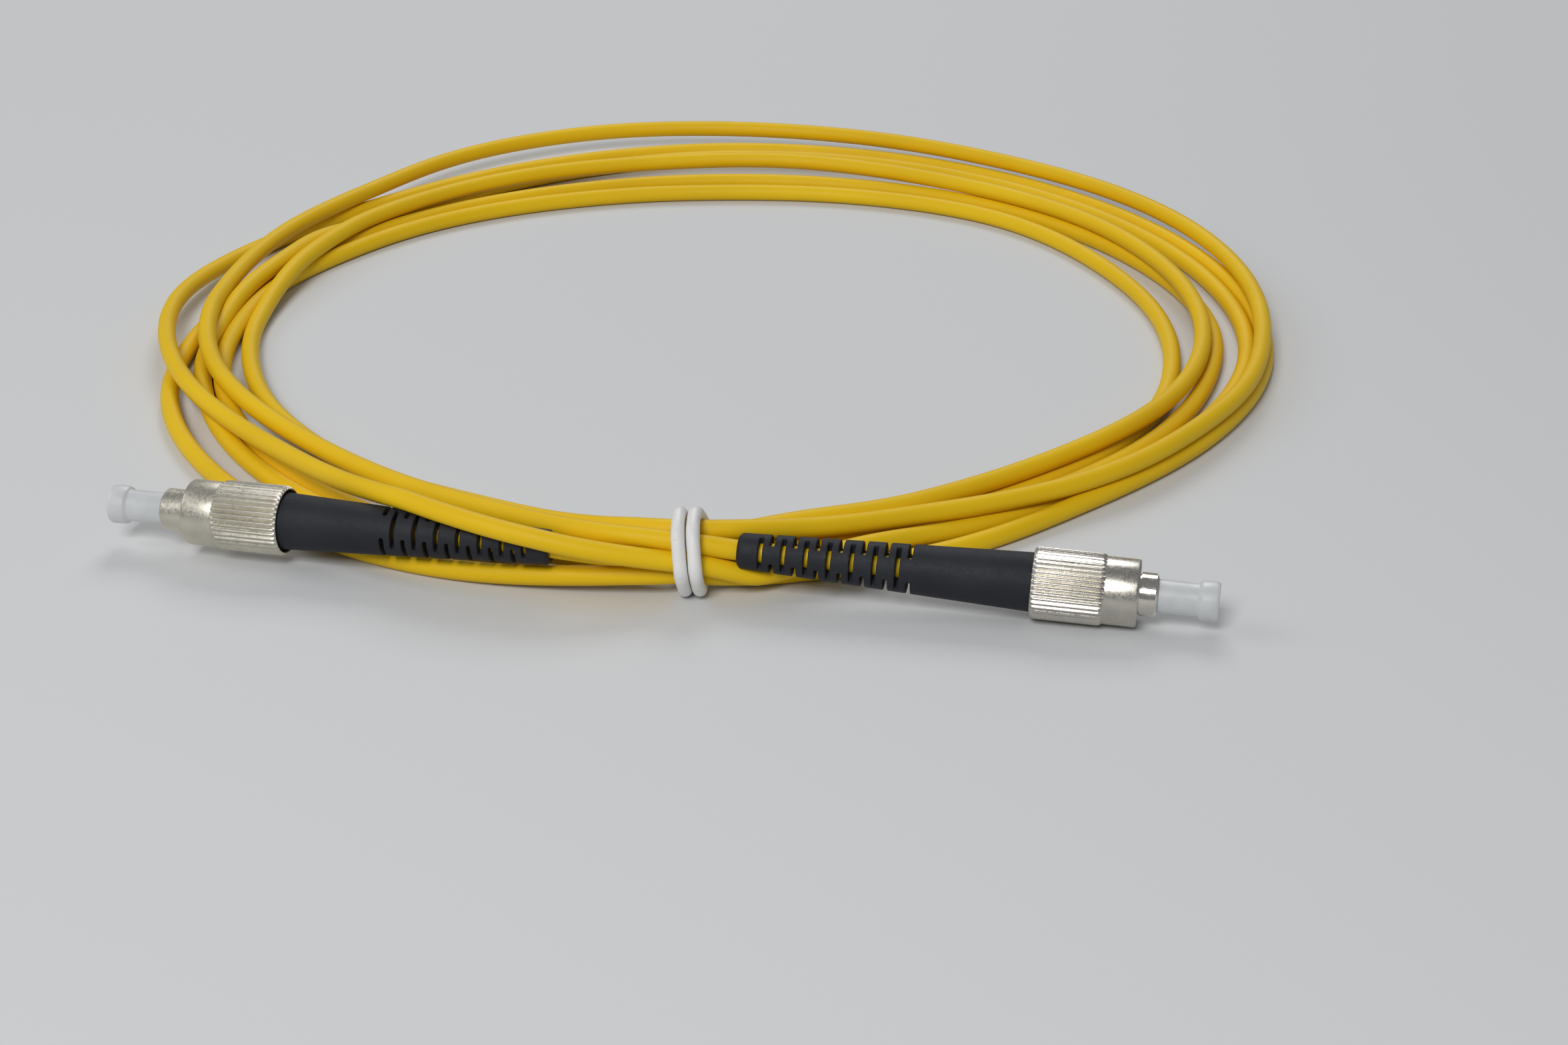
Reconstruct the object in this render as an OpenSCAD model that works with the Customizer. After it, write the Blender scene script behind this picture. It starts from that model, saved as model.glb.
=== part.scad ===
// Fiber optic patch cord: two FC plugs on one 3 mm simplex cord, wound in a flat coil and held by a wire tie.
// Millimetres. +Z is up and z = 0 is the surface that the coil lies on.
// Each plug is drawn along its own +X axis, from the small end of its boot to its dust cap, and is then placed.

/* [Cord] */
// Outside diameter of the cord's jacket
cord_d = 3.0; // [2.8:0.1:3.0]
// Diameter of the tight buffer inside the cord
buffer_d = 0.9; // [0.8:0.05:0.9]
// Diameter of the glass fibre
fibre_d = 0.125; // [0.12:0.005:0.13]
// Height of the coil's envelope
coil_h = 4.6; // [3.2:0.2:4.6]

/* [Boot] */
// Diameter of the boot's small end
boot_small_d = 5.1; // [4.9:0.1:5.3]
// Diameter of the boot where it enters the nut
boot_big_d = 8.4; // [8.0:0.1:8.6]
// Number of rows of bend-relief slots
slot_rows = 14; // [8:2:14]
// Distance from one row of slots to the next
slot_pitch = 1.635; // [1.5:0.005:1.65]
// Width of a slot
slot_w = 0.6; // [0.4:0.05:0.7]
// Angle that one slot spans
slot_span = 122; // [90:2:130]

/* [Plug] */
// Ferrule diameter
ferrule_d = 2.5; // [2.5:0.001:2.5]
// Diameter of the plug frame's nose
nose_d = 6.2; // [6.0:0.1:6.4]
// Distance that the ferrule's tip stands past the nose
ferrule_out = 2.2; // [1.8:0.1:2.4]
// Distance that the ferrule springs back
ferrule_travel = 1.3; // [1.0:0.1:1.3]

/* [Coupling nut] */
// Diameter over the knurl
nut_knurl_d = 10.2; // [10.0:0.1:10.4]
// Diameter of the nut's smooth front
nut_smooth_d = 9.6; // [9.4:0.1:9.8]
// Number of straight knurl ridges
knurl_count = 40; // [36:2:60]
// Major diameter of the nut's thread
thread_d = 8.0; // [8:0.1:8]
// Pitch of the nut's thread
thread_pitch = 0.75; // [0.75:0.01:0.75]
// How far the right plug's nose shows past its nut
right_nose_out = 2.6; // [1.6:0.1:4.6]
// How far the left plug's nose shows past its nut
left_nose_out = 4.1; // [1.6:0.1:4.6]

/* [Dust cap] */
// Stem diameter of the dust cap
cap_stem_d = 4.7; // [4.5:0.1:4.7]
// Head diameter of the dust cap
cap_head_d = 5.7; // [5.2:0.1:6.0]

/* [Tie] */
// Diameter of the tie's plastic-covered wire
tie_d = 2.0; // [1.8:0.1:2.0]
// Diameter of the wire core
tie_core_d = 0.6; // [0.4:0.1:0.8]

/* [Hidden] */
SIDES = ["left", "right"];
PLUG_PARTS = [
    "dust_cap", "ferrule", "ferrule_flange", "ferrule_spring", "plug_frame", "back_body", "nut_washer",
    "coupling_nut", "crimp_sleeve", "aramid_yarn", "jacket_end", "buffer", "fibre", "boot"
];
CORD_PARTS = ["cord_coil", "left_cord_lead", "right_cord_lead", "tie_wire_core", "tie_sleeve"];
$fn = 72;
EPS = 0.01;

// Stations along a plug's axis, from the boot's small end.
boot_end_x = 43.7;
nut_back_limit_x = 45.3;
nose_face_x = 59.5;
collar_x = [51.5, 53.5];
web_x = [53.7, 54.7];
flange_back_x = 50.7;
spring_seat_x = 46.9;
crimp_post_x = 35.3;
jacket_stop_x = 34.5;
ferrule_tip_x = nose_face_x + ferrule_out;
ferrule_len = 10.5;

// Radii inside the plug.
collar_r = 3.5;
neck_r = 2.9;
frame_bore_r = 2.15;
nose_bore_r = cap_stem_d / 2 + 0.1;
flange_r = 2.0;
flange_tube_r = 1.0;
post_r = 2.2;
yarn_r = 2.45;
sleeve_r = 2.85;
boot_bore_r = sleeve_r + 0.1;

// Nut: stations are measured back from its front face.
nut_len = 15.0;
nut_smooth_len = 4.8;
thread_len = 5.6;
lip_front = 6.4;
lip_len = 2.4;
washer_len = 0.8;
washer_r = 4.0;
thread_minor_r = thread_d / 2 - 0.35;
counterbore_r = 4.6;

// Where each plug lies: small end of the boot, turn about Z, and how far the axis dips towards the cap.
coil_centre = [7, 92];
right_yaw = -9.3;
right_dip = 2.2;
right_drop_len = nose_face_x - right_nose_out - nut_smooth_len + 1;
right_end = [12.5, -3, nut_knurl_d / 2 * cos(right_dip) + right_drop_len * sin(right_dip)];
left_yaw = 165.5;
left_dip = 1.0;
left_end = [-14, -2.5, 7.3];

// Reach of the coil's outer and inner outlines from its centre, every 22.5 degrees from the front, anticlockwise.
outer_reach = [98, 88.5, 92.5, 94.5, 95.5, 96.5, 98.5, 100.5, 101.5, 98, 94, 94, 95.5, 96, 97.5, 98.5];
inner_reach = [88, 78, 73, 75.5, 76.5, 77, 75.5, 72, 69.5, 72, 76, 77, 77, 76, 74.5, 78.5];
outline_steps = 5;

// The bound bundle at the tie.
tie_x = 5.5;
bundle_x = [1, 10];
bundle_y = [-6.5, 2.5];
bundle_z = [tie_d + 0.1, 11.1];
bundle_corner_r = 1.6;
tie_lean = 8;
wrap_gap = 0.1;

// Routes of the two short leads that are not coiled: boot to bundle.
left_lead = [[-14, -2.5, 7.3], [-11, -3.3, 7.35], [-7, -3.9, 7.3], [-3, -3.9, 7], [-1, -3.8, 6.9], [1, -3.8, 6.9]];
right_lead = [[12.5, -3, right_end[2]], [11.6, -2.9, right_end[2] + 0.03], [10, -2.9, right_end[2] + 0.05]];

YELLOW = [0.86, 0.68, 0.12];
CHARCOAL = [0.16, 0.17, 0.19];
NICKEL = [0.78, 0.77, 0.72];
STEEL = [0.62, 0.63, 0.65];
CERAMIC = [0.95, 0.95, 0.93];
CAP_WHITE = [0.90, 0.92, 0.91];
TIE_WHITE = [0.93, 0.93, 0.91];

// ---------- helpers ----------

// A solid of revolution about X, from [x, r] outline points.
module turned(points) {
    rotate([0, 90, 0])
        rotate([0, 0, 90])
            rotate_extrude()
                polygon([for (p = points) [p[1], p[0]]]);
}

// A plain cylinder along X from x0 to x1.
module rod(r, x0, x1) {
    translate([x0, 0, 0])
        rotate([0, 90, 0])
            cylinder(r = r, h = x1 - x0);
}

// A rod along X with chamfered ends.
module chamfered_rod(r, x0, x1, c0, c1) {
    turned([[x0, 0], [x0, r - c0], [x0 + c0, r], [x1 - c1, r], [x1, r - c1], [x1, 0]]);
}

// Puts a plug's parts where that plug lies.
module placed(side) {
    if (side == "right")
        translate(right_end)
            rotate([0, right_dip, right_yaw])
                children();
    else
        translate(left_end)
            rotate([0, left_dip, left_yaw])
                children();
}

function nose_out(side) = side == "right" ? right_nose_out : left_nose_out;
function nut_front_x(side) = nose_face_x - nose_out(side);

// Catmull-Rom value between b and c.
function blend4(a, b, c, d, t) =
    0.5 * (2 * b + (c - a) * t + (2 * a - 5 * b + 4 * c - d) * t * t + (3 * b - a - 3 * c + d) * t * t * t);
function ring_value(list, i, t) =
    let (n = len(list))
    blend4(list[(i + n - 1) % n], list[i], list[(i + 1) % n], list[(i + 2) % n], t);
function outline(list, steps) = [
    for (i = [0 : len(list) - 1])
        for (k = [0 : steps - 1])
            let (turn = (i + k / steps) * 360 / len(list), reach = ring_value(list, i, k / steps))
            [coil_centre[0] + reach * sin(turn), coil_centre[1] - reach * cos(turn)]
];

function unit(v) = v / norm(v);
function path_dir(path, i) =
    i == 0 ? unit(path[1] - path[0])
    : i == len(path) - 1 ? unit(path[i] - path[i - 1])
    : unit(unit(path[i + 1] - path[i]) + unit(path[i] - path[i - 1]));

// A tube of r with the given number of sides, swept along a route that never runs straight up.
// first and last give the directions of the end faces' normals.
module swept_tube(path, r, sides, first, last) {
    rings = len(path);
    points = [
        for (i = [0 : rings - 1])
            let (
                dir = i == 0 ? unit(first) : i == rings - 1 ? unit(last) : path_dir(path, i),
                flat = unit(cross([0, 0, 1], dir)),
                rise = cross(dir, flat)
            )
            for (k = [0 : sides - 1])
                path[i] + r * (cos(360 * k / sides) * flat + sin(360 * k / sides) * rise)
    ];
    walls = [
        for (i = [0 : rings - 2])
            for (k = [0 : sides - 1])
                let (n = (k + 1) % sides)
                [i * sides + k, (i + 1) * sides + k, (i + 1) * sides + n, i * sides + n]
    ];
    ends = [
        [for (k = [0 : sides - 1]) k],
        [for (k = [sides - 1 : -1 : 0]) (rings - 1) * sides + k]
    ];
    polyhedron(points = points, faces = concat(walls, ends), convexity = 6);
}

// ---------- plug ----------

// Radius of the boot's outer cone at a station.
function boot_r(x) =
    boot_small_d / 2 + (boot_big_d - boot_small_d) / 2 * x / (nose_face_x - right_nose_out - nut_len);

// Pair of opposite slots through the boot's wall, rolled by an angle about the axis.
module slot_pair(x, roll) {
    for (half = [0, 180])
        translate([x - slot_w / 2, 0, 0])
            rotate([roll + half, 0, 0])
                rotate([0, 90, 0])
                    rotate([0, 0, -slot_span / 2])
                        rotate_extrude(angle = slot_span)
                            translate([cord_d / 2 - 0.2, 0])
                                square([boot_big_d, slot_w]);
}

// Ribbed rubber bend relief with a cone outside and a stepped bore.
module boot(side) {
    step_x = 27.3;
    first_slot_x = 3.45;
    face_roll = side == "right" ? 69 : 127;
    tip_c = 0.5;
    color(CHARCOAL)
        difference() {
            turned([
                [0, 0], [0, boot_r(0) - tip_c], [tip_c, boot_r(tip_c)], [boot_end_x - 0.4, boot_r(boot_end_x)],
                [boot_end_x, boot_r(boot_end_x) - 0.4], [boot_end_x, 0]
            ]);
            turned([
                [-1, 0], [-1, cord_d / 2 + 0.1], [step_x, cord_d / 2 + 0.1], [step_x + 0.6, boot_bore_r],
                [boot_end_x + 1, boot_bore_r], [boot_end_x + 1, 0]
            ]);
            for (i = [0 : slot_rows - 1])
                slot_pair(first_slot_x + i * slot_pitch, face_roll + (i % 2) * 90);
        }
}

// The stripped end of the cord's jacket, held under the boot.
module jacket_end() {
    bore_r = 0.6;
    color(YELLOW)
        difference() {
            rod(cord_d / 2, 0, jacket_stop_x);
            rod(bore_r, -1, jacket_stop_x + 1);
        }
}

// Tight buffer over the fibre, glued into the ferrule flange.
module buffer() {
    color([0.97, 0.97, 0.95])
        difference() {
            rod(buffer_d / 2, 20, flange_back_x);
            rod(fibre_d / 2 + 0.01, 19, flange_back_x + 1);
        }
}

// Bare glass fibre from inside the buffer to the polished tip.
module fibre() {
    color([0.80, 0.90, 0.95])
        rod(fibre_d / 2, 20.5, ferrule_tip_x);
}

// Zirconia ferrule with a lead-in chamfer and a fibre bore.
module ferrule() {
    color(CERAMIC)
        difference() {
            chamfered_rod(ferrule_d / 2, ferrule_tip_x - ferrule_len, ferrule_tip_x, 0.15, 0.35);
            rod(fibre_d / 2 + 0.01, ferrule_tip_x - ferrule_len - 1, ferrule_tip_x + 1);
        }
}

// Metal flange that carries the ferrule, with four keyways and a rear tube for the buffer.
module ferrule_flange() {
    front_x = web_x[0] - 0.05;
    tube_back_x = 44.8;
    color(NICKEL)
        difference() {
            union() {
                chamfered_rod(flange_r, flange_back_x, front_x, 0.2, 0.2);
                rod(flange_tube_r, tube_back_x, flange_back_x + EPS);
            }
            rod(ferrule_d / 2, ferrule_tip_x - ferrule_len, front_x + 1);
            rod(buffer_d / 2, tube_back_x - 1, flange_back_x);
            rod(fibre_d / 2 + 0.1, flange_back_x - 1, front_x);
            for (a = [0 : 90 : 270])
                rotate([a, 0, 0])
                    translate([front_x - 1.2, -0.3, flange_r - 0.35])
                        cube([2, 0.6, 1]);
        }
}

// Compression spring between the back body and the flange.
module ferrule_spring() {
    wire_r = 0.175;
    coil_r = 1.6;
    coils = 6;
    steps = 14;
    sides = 6;
    x0 = spring_seat_x + wire_r + 0.02;
    x1 = flange_back_x - wire_r - 0.02;
    last = coils * steps;
    points = [
        for (i = [0 : last])
            let (a = 360 * i / steps, x = x0 + (x1 - x0) * i / last)
            for (k = [0 : sides - 1])
                let (b = 360 * k / sides, r = coil_r + wire_r * cos(b))
                [x + wire_r * sin(b), r * cos(a), r * sin(a)]
    ];
    walls = [
        for (i = [0 : last - 1])
            for (k = [0 : sides - 1])
                let (n = (k + 1) % sides)
                [i * sides + k, i * sides + n, (i + 1) * sides + n, (i + 1) * sides + k]
    ];
    ends = [
        [for (k = [sides - 1 : -1 : 0]) k],
        [for (k = [0 : sides - 1]) last * sides + k]
    ];
    color(STEEL)
        polyhedron(points = points, faces = concat(walls, ends), convexity = 10);
}

// Plug frame: the nose that enters the adapter, its key, the collar that the nut pushes on, and the neck.
module plug_frame(side) {
    step_x = nose_face_x - nose_out(side) + 0.2;
    body_r = nose_d / 2 - 0.25;
    key_w = 2.0;
    key_x = [collar_x[0] + 1, step_x - 0.3];
    key_roll = side == "right" ? 40 : 140;
    color(NICKEL)
        difference() {
            union() {
                turned([
                    [nut_back_limit_x, 0], [nut_back_limit_x, neck_r], [collar_x[0], neck_r],
                    [collar_x[0], collar_r], [collar_x[1], collar_r], [collar_x[1], body_r],
                    [step_x, body_r], [step_x, nose_d / 2], [nose_face_x - 0.3, nose_d / 2],
                    [nose_face_x, nose_d / 2 - 0.3], [nose_face_x, 0]
                ]);
                rotate([-key_roll, 0, 0])
                    translate([key_x[0], -key_w / 2, body_r - 0.5])
                        cube([key_x[1] - key_x[0], key_w, collar_r - body_r + 0.45]);
            }
            rod(nose_bore_r, web_x[1], nose_face_x + 1);
            rod(ferrule_d / 2 + 0.1, web_x[0] - 1, nose_face_x);
            rod(frame_bore_r, nut_back_limit_x - 1, web_x[0]);
        }
}

// Back body: its spigot is screwed into the frame, its flange stops the nut, and the cord is crimped to its post.
module back_body() {
    bore_r = 1.15;
    groove_pitch = 0.8;
    color(NICKEL)
        difference() {
            union() {
                rod(frame_bore_r, nut_back_limit_x - EPS, spring_seat_x);
                rod(3.9, boot_end_x, nut_back_limit_x);
                rod(post_r, crimp_post_x, boot_end_x + EPS);
            }
            rod(bore_r, crimp_post_x - 1, spring_seat_x + 1);
            for (x = [crimp_post_x + 1.4 : groove_pitch : boot_end_x - 1.4])
                turned([[x - 0.15, post_r + 0.1], [x, post_r - 0.15], [x + 0.15, post_r + 0.1]]);
        }
}

// Braided yarn laid over the crimp post.
module aramid_yarn() {
    color([0.93, 0.82, 0.35])
        difference() {
            rod(yarn_r, crimp_post_x - 0.6, boot_end_x - 0.6);
            rod(post_r, crimp_post_x - 2, boot_end_x + 1);
        }
}

// Crimp sleeve: wide over the yarn and post, narrow over the jacket.
module crimp_sleeve() {
    narrow_back_x = 28.1;
    neck_x = jacket_stop_x - 0.2;
    color(STEEL)
        difference() {
            turned([
                [narrow_back_x, 0], [narrow_back_x, 1.9], [neck_x - 0.4, 1.9], [neck_x + 0.3, sleeve_r],
                [boot_end_x - 0.6, sleeve_r], [boot_end_x - 0.6, 0]
            ]);
            rod(cord_d / 2, narrow_back_x - 1, neck_x + 0.6);
            rod(yarn_r, crimp_post_x - 0.6, boot_end_x);
        }
}

// Thrust washer behind the nut's lip; it slides on the neck with the nut.
module nut_washer(side) {
    front_x = nut_front_x(side) - lip_front - lip_len;
    color(STEEL)
        difference() {
            chamfered_rod(washer_r, front_x - washer_len, front_x - 0.02, 0.1, 0.1);
            rod(neck_r + 0.05, front_x - washer_len - 1, front_x + 1);
        }
}

// One tooth and one gap of the straight knurl, as outline points.
function knurl_point(i) =
    let (step = 360 / knurl_count, deep = nut_knurl_d / 2 - 0.4, tall = nut_knurl_d / 2)
    [
        for (e = [[0.02, deep], [0.26, deep], [0.40, tall], [0.62, tall], [0.76, deep]])
            [e[1] * cos((i + e[0]) * step), e[1] * sin((i + e[0]) * step)]
    ];

// Coupling nut: smooth front with the M8 thread inside, knurled grip behind, and an inward lip.
module coupling_nut(side) {
    front_x = nut_front_x(side);
    back_x = front_x - nut_len;
    split_x = front_x - nut_smooth_len;
    rim_c = 0.4;
    front_r = nut_smooth_d / 2;
    teeth = floor((thread_len - 0.6) / thread_pitch);
    color(NICKEL)
        difference() {
            union() {
                turned([
                    [split_x - 0.6, 0], [split_x - 0.6, front_r], [front_x - 0.35, front_r],
                    [front_x, front_r - 0.35], [front_x, 0]
                ]);
                intersection() {
                    translate([back_x, 0, 0])
                        rotate([0, 90, 0])
                            linear_extrude(height = nut_len - nut_smooth_len)
                                polygon([for (i = [0 : knurl_count - 1]) each knurl_point(i)]);
                    chamfered_rod(nut_knurl_d / 2 + 0.05, back_x, split_x, rim_c, rim_c);
                }
            }
            rod(thread_minor_r, front_x - lip_front, front_x + 1);
            turned([
                [front_x - 0.4, 0], [front_x - 0.4, thread_minor_r], [front_x + 0.1, thread_d / 2 + 0.15],
                [front_x + 0.1, 0]
            ]);
            for (i = [0 : teeth - 1])
                let (x = front_x - 0.8 - i * thread_pitch)
                turned([
                    [x - 0.32, thread_minor_r - 0.1], [x - 0.32, thread_minor_r], [x - 0.05, thread_d / 2],
                    [x + 0.05, thread_d / 2], [x + 0.32, thread_minor_r], [x + 0.32, thread_minor_r - 0.1]
                ]);
            rod(neck_r + 0.1, front_x - lip_front - lip_len - 1, front_x - lip_front + 1);
            rod(washer_r + 0.07, back_x + 1, front_x - lip_front - lip_len);
            rod(counterbore_r, back_x - 1, front_x - lip_front - lip_len - washer_len);
        }
}

// Soft dust cap: a tube over the ferrule, closed by a wider head.
module dust_cap() {
    inside = 3.0;
    stem_end_x = nose_face_x + 5.8;
    head_end_x = stem_end_x + 2.75;
    stem_r = cap_stem_d / 2;
    head_r = cap_head_d / 2;
    color(CAP_WHITE)
        difference() {
            turned([
                [nose_face_x - inside, 0], [nose_face_x - inside, stem_r - 0.2],
                [nose_face_x - inside + 0.4, stem_r], [stem_end_x - 0.1, stem_r - 0.05],
                [stem_end_x + 0.45, head_r - 0.05], [head_end_x - 0.5, head_r],
                [head_end_x - 0.15, head_r - 0.12], [head_end_x, head_r - 0.5], [head_end_x, 0]
            ]);
            rod(ferrule_d / 2 + 0.03, nose_face_x - inside - 1, ferrule_tip_x + 1);
        }
}

// ---------- cord ----------

// The room that a plug takes, with a margin, which the coil leaves free.
module plug_room(margin) {
    turned([
        [-1, 0], [-1, boot_r(0) + margin], [boot_end_x - 2, boot_r(boot_end_x) + margin],
        [boot_end_x - 2, 0]
    ]);
    rod(nut_knurl_d / 2 + margin, nose_face_x - 20, nose_face_x + 20);
}

// The bound bundle's block at the tie.
module bundle() {
    size_y = bundle_y[1] - bundle_y[0];
    size_z = bundle_z[1] - bundle_z[0];
    translate([bundle_x[0], bundle_y[0], bundle_z[0]])
        rotate([90, 0, 90])
            linear_extrude(height = bundle_x[1] - bundle_x[0])
                hull()
                    for (y = [bundle_corner_r, size_y - bundle_corner_r])
                        for (z = [bundle_corner_r, size_z - bundle_corner_r])
                            translate([y, z])
                                circle(r = bundle_corner_r, $fn = 32);
}

// Envelope of the coil's turns: a flat ring that narrows to the bundle at the tie.
module cord_coil() {
    color(YELLOW)
        difference() {
            union() {
                linear_extrude(height = coil_h)
                    difference() {
                        polygon(outline(outer_reach, outline_steps));
                        polygon(outline(inner_reach, outline_steps));
                    }
                bundle();
            }
            difference() {
                translate([bundle_x[0], bundle_y[0] - 6, -1])
                    cube([bundle_x[1] - bundle_x[0], 24, bundle_z[1] + 4]);
                bundle();
            }
            for (side = SIDES)
                placed(side)
                    plug_room(0.4);
        }
}

module cord_lead(side) {
    route = side == "right" ? right_lead : left_lead;
    yaw = side == "right" ? right_yaw : left_yaw;
    dip = side == "right" ? right_dip : left_dip;
    away = [-cos(yaw) * cos(dip), -sin(yaw) * cos(dip), sin(dip)];
    inward = side == "right" ? [-1, 0, 0] : [1, 0, 0];
    color(YELLOW)
        swept_tube(route, cord_d / 2, 8, away, inward);
}

// ---------- tie ----------

// One wrap of wire of radius r round the bundle: straight sides and quarter-ring corners.
module wrap(r) {
    corner = bundle_corner_r + wrap_gap + tie_d / 2;
    half_y = (bundle_y[1] - bundle_y[0]) / 2 + wrap_gap + tie_d / 2 - corner;
    half_z = (bundle_z[1] - bundle_z[0]) / 2 + wrap_gap + tie_d / 2 - corner;
    for (q = [0 : 3])
        rotate([q * 90, 0, 0]) {
            along = q % 2 == 0 ? half_y : half_z;
            up = q % 2 == 0 ? half_z : half_y;
            translate([0, along, up])
                rotate([0, -90, 0])
                    rotate_extrude(angle = 90)
                        translate([corner, 0])
                            circle(r = r, $fn = 24);
            translate([0, -along, up + corner])
                rotate([-90, 0, 0])
                    cylinder(r = r, h = 2 * along, $fn = 24);
        }
}

// The two wraps, the pair of tails that lie behind the bundle, and the knot that joins the tails.
module tie_shape(r, tail_len, knot_r) {
    wrap_step = tie_d + 0.15;
    tail_z = tie_d / 2;
    mid = [(bundle_y[0] + bundle_y[1]) / 2, (bundle_z[0] + bundle_z[1]) / 2];
    knot_x = tie_x + (mid[1] - tail_z) * sin(tie_lean);
    if (knot_r > r)
        translate([knot_x, bundle_y[1] + 3.2, 1.6])
            rotate([-90, 0, 0])
                cylinder(r = knot_r, h = 3.4, $fn = 32);
    else
        translate([knot_x - wrap_step / 2, bundle_y[1] + 5, tail_z])
            rotate([0, 90, 0])
                cylinder(r = knot_r, h = wrap_step, $fn = 24);
    for (s = [-1, 1]) {
        translate([tie_x + s * wrap_step / 2, mid[0], mid[1]])
            rotate([0, -tie_lean, 0])
                wrap(r);
        translate([knot_x + s * wrap_step / 2, bundle_y[1] - 1.7, tail_z])
            rotate([-90, 0, 0])
                cylinder(r = r, h = tail_len, $fn = 24);
    }
}

module tie_wire_core() {
    color(STEEL)
        tie_shape(tie_core_d / 2, 10.4, tie_core_d / 2 - 0.02);
}

module tie_sleeve() {
    color(TIE_WHITE)
        difference() {
            tie_shape(tie_d / 2, 10.4, 1.6);
            tie_shape(tie_core_d / 2, 10.4 + EPS, tie_core_d / 2 - 0.02);
        }
}

// ---------- nodes ----------

for (side = SIDES) {
    placed(side) dust_cap();
    placed(side) ferrule();
    placed(side) ferrule_flange();
    placed(side) ferrule_spring();
    placed(side) plug_frame(side);
    placed(side) back_body();
    placed(side) nut_washer(side);
    placed(side) coupling_nut(side);
    placed(side) crimp_sleeve();
    placed(side) aramid_yarn();
    placed(side) jacket_end();
    placed(side) buffer();
    placed(side) fibre();
    placed(side) boot(side);
    cord_lead(side);
}
cord_coil();
tie_wire_core();
tie_sleeve();
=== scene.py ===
import math
import bpy
import bmesh
import numpy as np
from mathutils import Matrix, Vector


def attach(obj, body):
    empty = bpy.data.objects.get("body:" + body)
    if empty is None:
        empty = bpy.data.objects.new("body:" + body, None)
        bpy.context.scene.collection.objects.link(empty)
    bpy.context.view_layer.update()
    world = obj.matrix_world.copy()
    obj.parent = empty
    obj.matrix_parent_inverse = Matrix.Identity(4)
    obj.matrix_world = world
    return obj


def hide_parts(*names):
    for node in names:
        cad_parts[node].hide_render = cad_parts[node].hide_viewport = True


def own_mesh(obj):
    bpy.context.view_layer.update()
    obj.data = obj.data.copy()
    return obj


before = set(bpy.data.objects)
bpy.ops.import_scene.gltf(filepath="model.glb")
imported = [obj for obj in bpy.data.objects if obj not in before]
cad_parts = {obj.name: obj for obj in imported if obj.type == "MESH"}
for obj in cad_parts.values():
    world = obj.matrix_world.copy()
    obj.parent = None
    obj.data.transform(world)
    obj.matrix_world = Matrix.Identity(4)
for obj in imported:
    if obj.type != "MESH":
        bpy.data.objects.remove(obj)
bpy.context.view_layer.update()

MM = 0.001

# ---------------------------------------------------------------- camera
CAM = np.array([19.0, -380.0, 195.4])  # mm
CAM_TILT = 64.0  # degrees from straight down
IMAGE_WIDTH_PX = 2352.0
FOCAL_PX = 4446.0
SENSOR_WIDTH = 36.0


def make_camera():
    data = bpy.data.cameras.new("camera")
    data.sensor_width = SENSOR_WIDTH
    data.lens = FOCAL_PX / IMAGE_WIDTH_PX * SENSOR_WIDTH
    data.clip_start = 0.01
    data.clip_end = 20.0
    cam = bpy.data.objects.new("camera", data)
    cam.location = CAM * MM
    cam.rotation_euler = (math.radians(CAM_TILT), 0.0, 0.0)
    bpy.context.scene.collection.objects.link(cam)
    bpy.context.scene.camera = cam


make_camera()

# ---------------------------------------------------------------- plug placement (as in the CAD)
# Millimetres along a plug are counted from its boot's tip, forward to the dust cap.
NOSE = 59.5
NUT_FRONT = {"right": NOSE - 2.6, "left": NOSE - 4.1}
NUT_R = 5.1
RIGHT_DIP = 2.2
RIGHT_REST = NUT_FRONT["right"] - 3.8  # where the right nut's underside rests on the table
CORD_D = 3.0
CORD_R = CORD_D / 2


def plug_frame(end, yaw, dip):
    """The boot's tip in mm, the unit vector along the plug, and the plug's matrix in metres."""
    y, d = math.radians(yaw), math.radians(dip)
    ax = np.array([math.cos(y) * math.cos(d), math.sin(y) * math.cos(d), -math.sin(d)])
    m = (Matrix.Translation(Vector(end) * MM) @ Matrix.Rotation(y, 4, "Z") @ Matrix.Rotation(d, 4, "Y"))
    return np.array(end), ax, m


RIGHT_Z = NUT_R * math.cos(math.radians(RIGHT_DIP)) + RIGHT_REST * math.sin(math.radians(RIGHT_DIP))
PLUGS = {
    "right": plug_frame((12.5, -3.0, RIGHT_Z), -9.3, RIGHT_DIP),
    "left": plug_frame((-14.0, -2.5, 7.3), 165.5, 1.0),
}
BOOT_TIP_R = 2.55
BOOT_GROWTH = 1.65
BOOT_LENGTH = NOSE - 17.6


def boot_r(x):
    return BOOT_TIP_R + BOOT_GROWTH * x / BOOT_LENGTH


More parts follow.
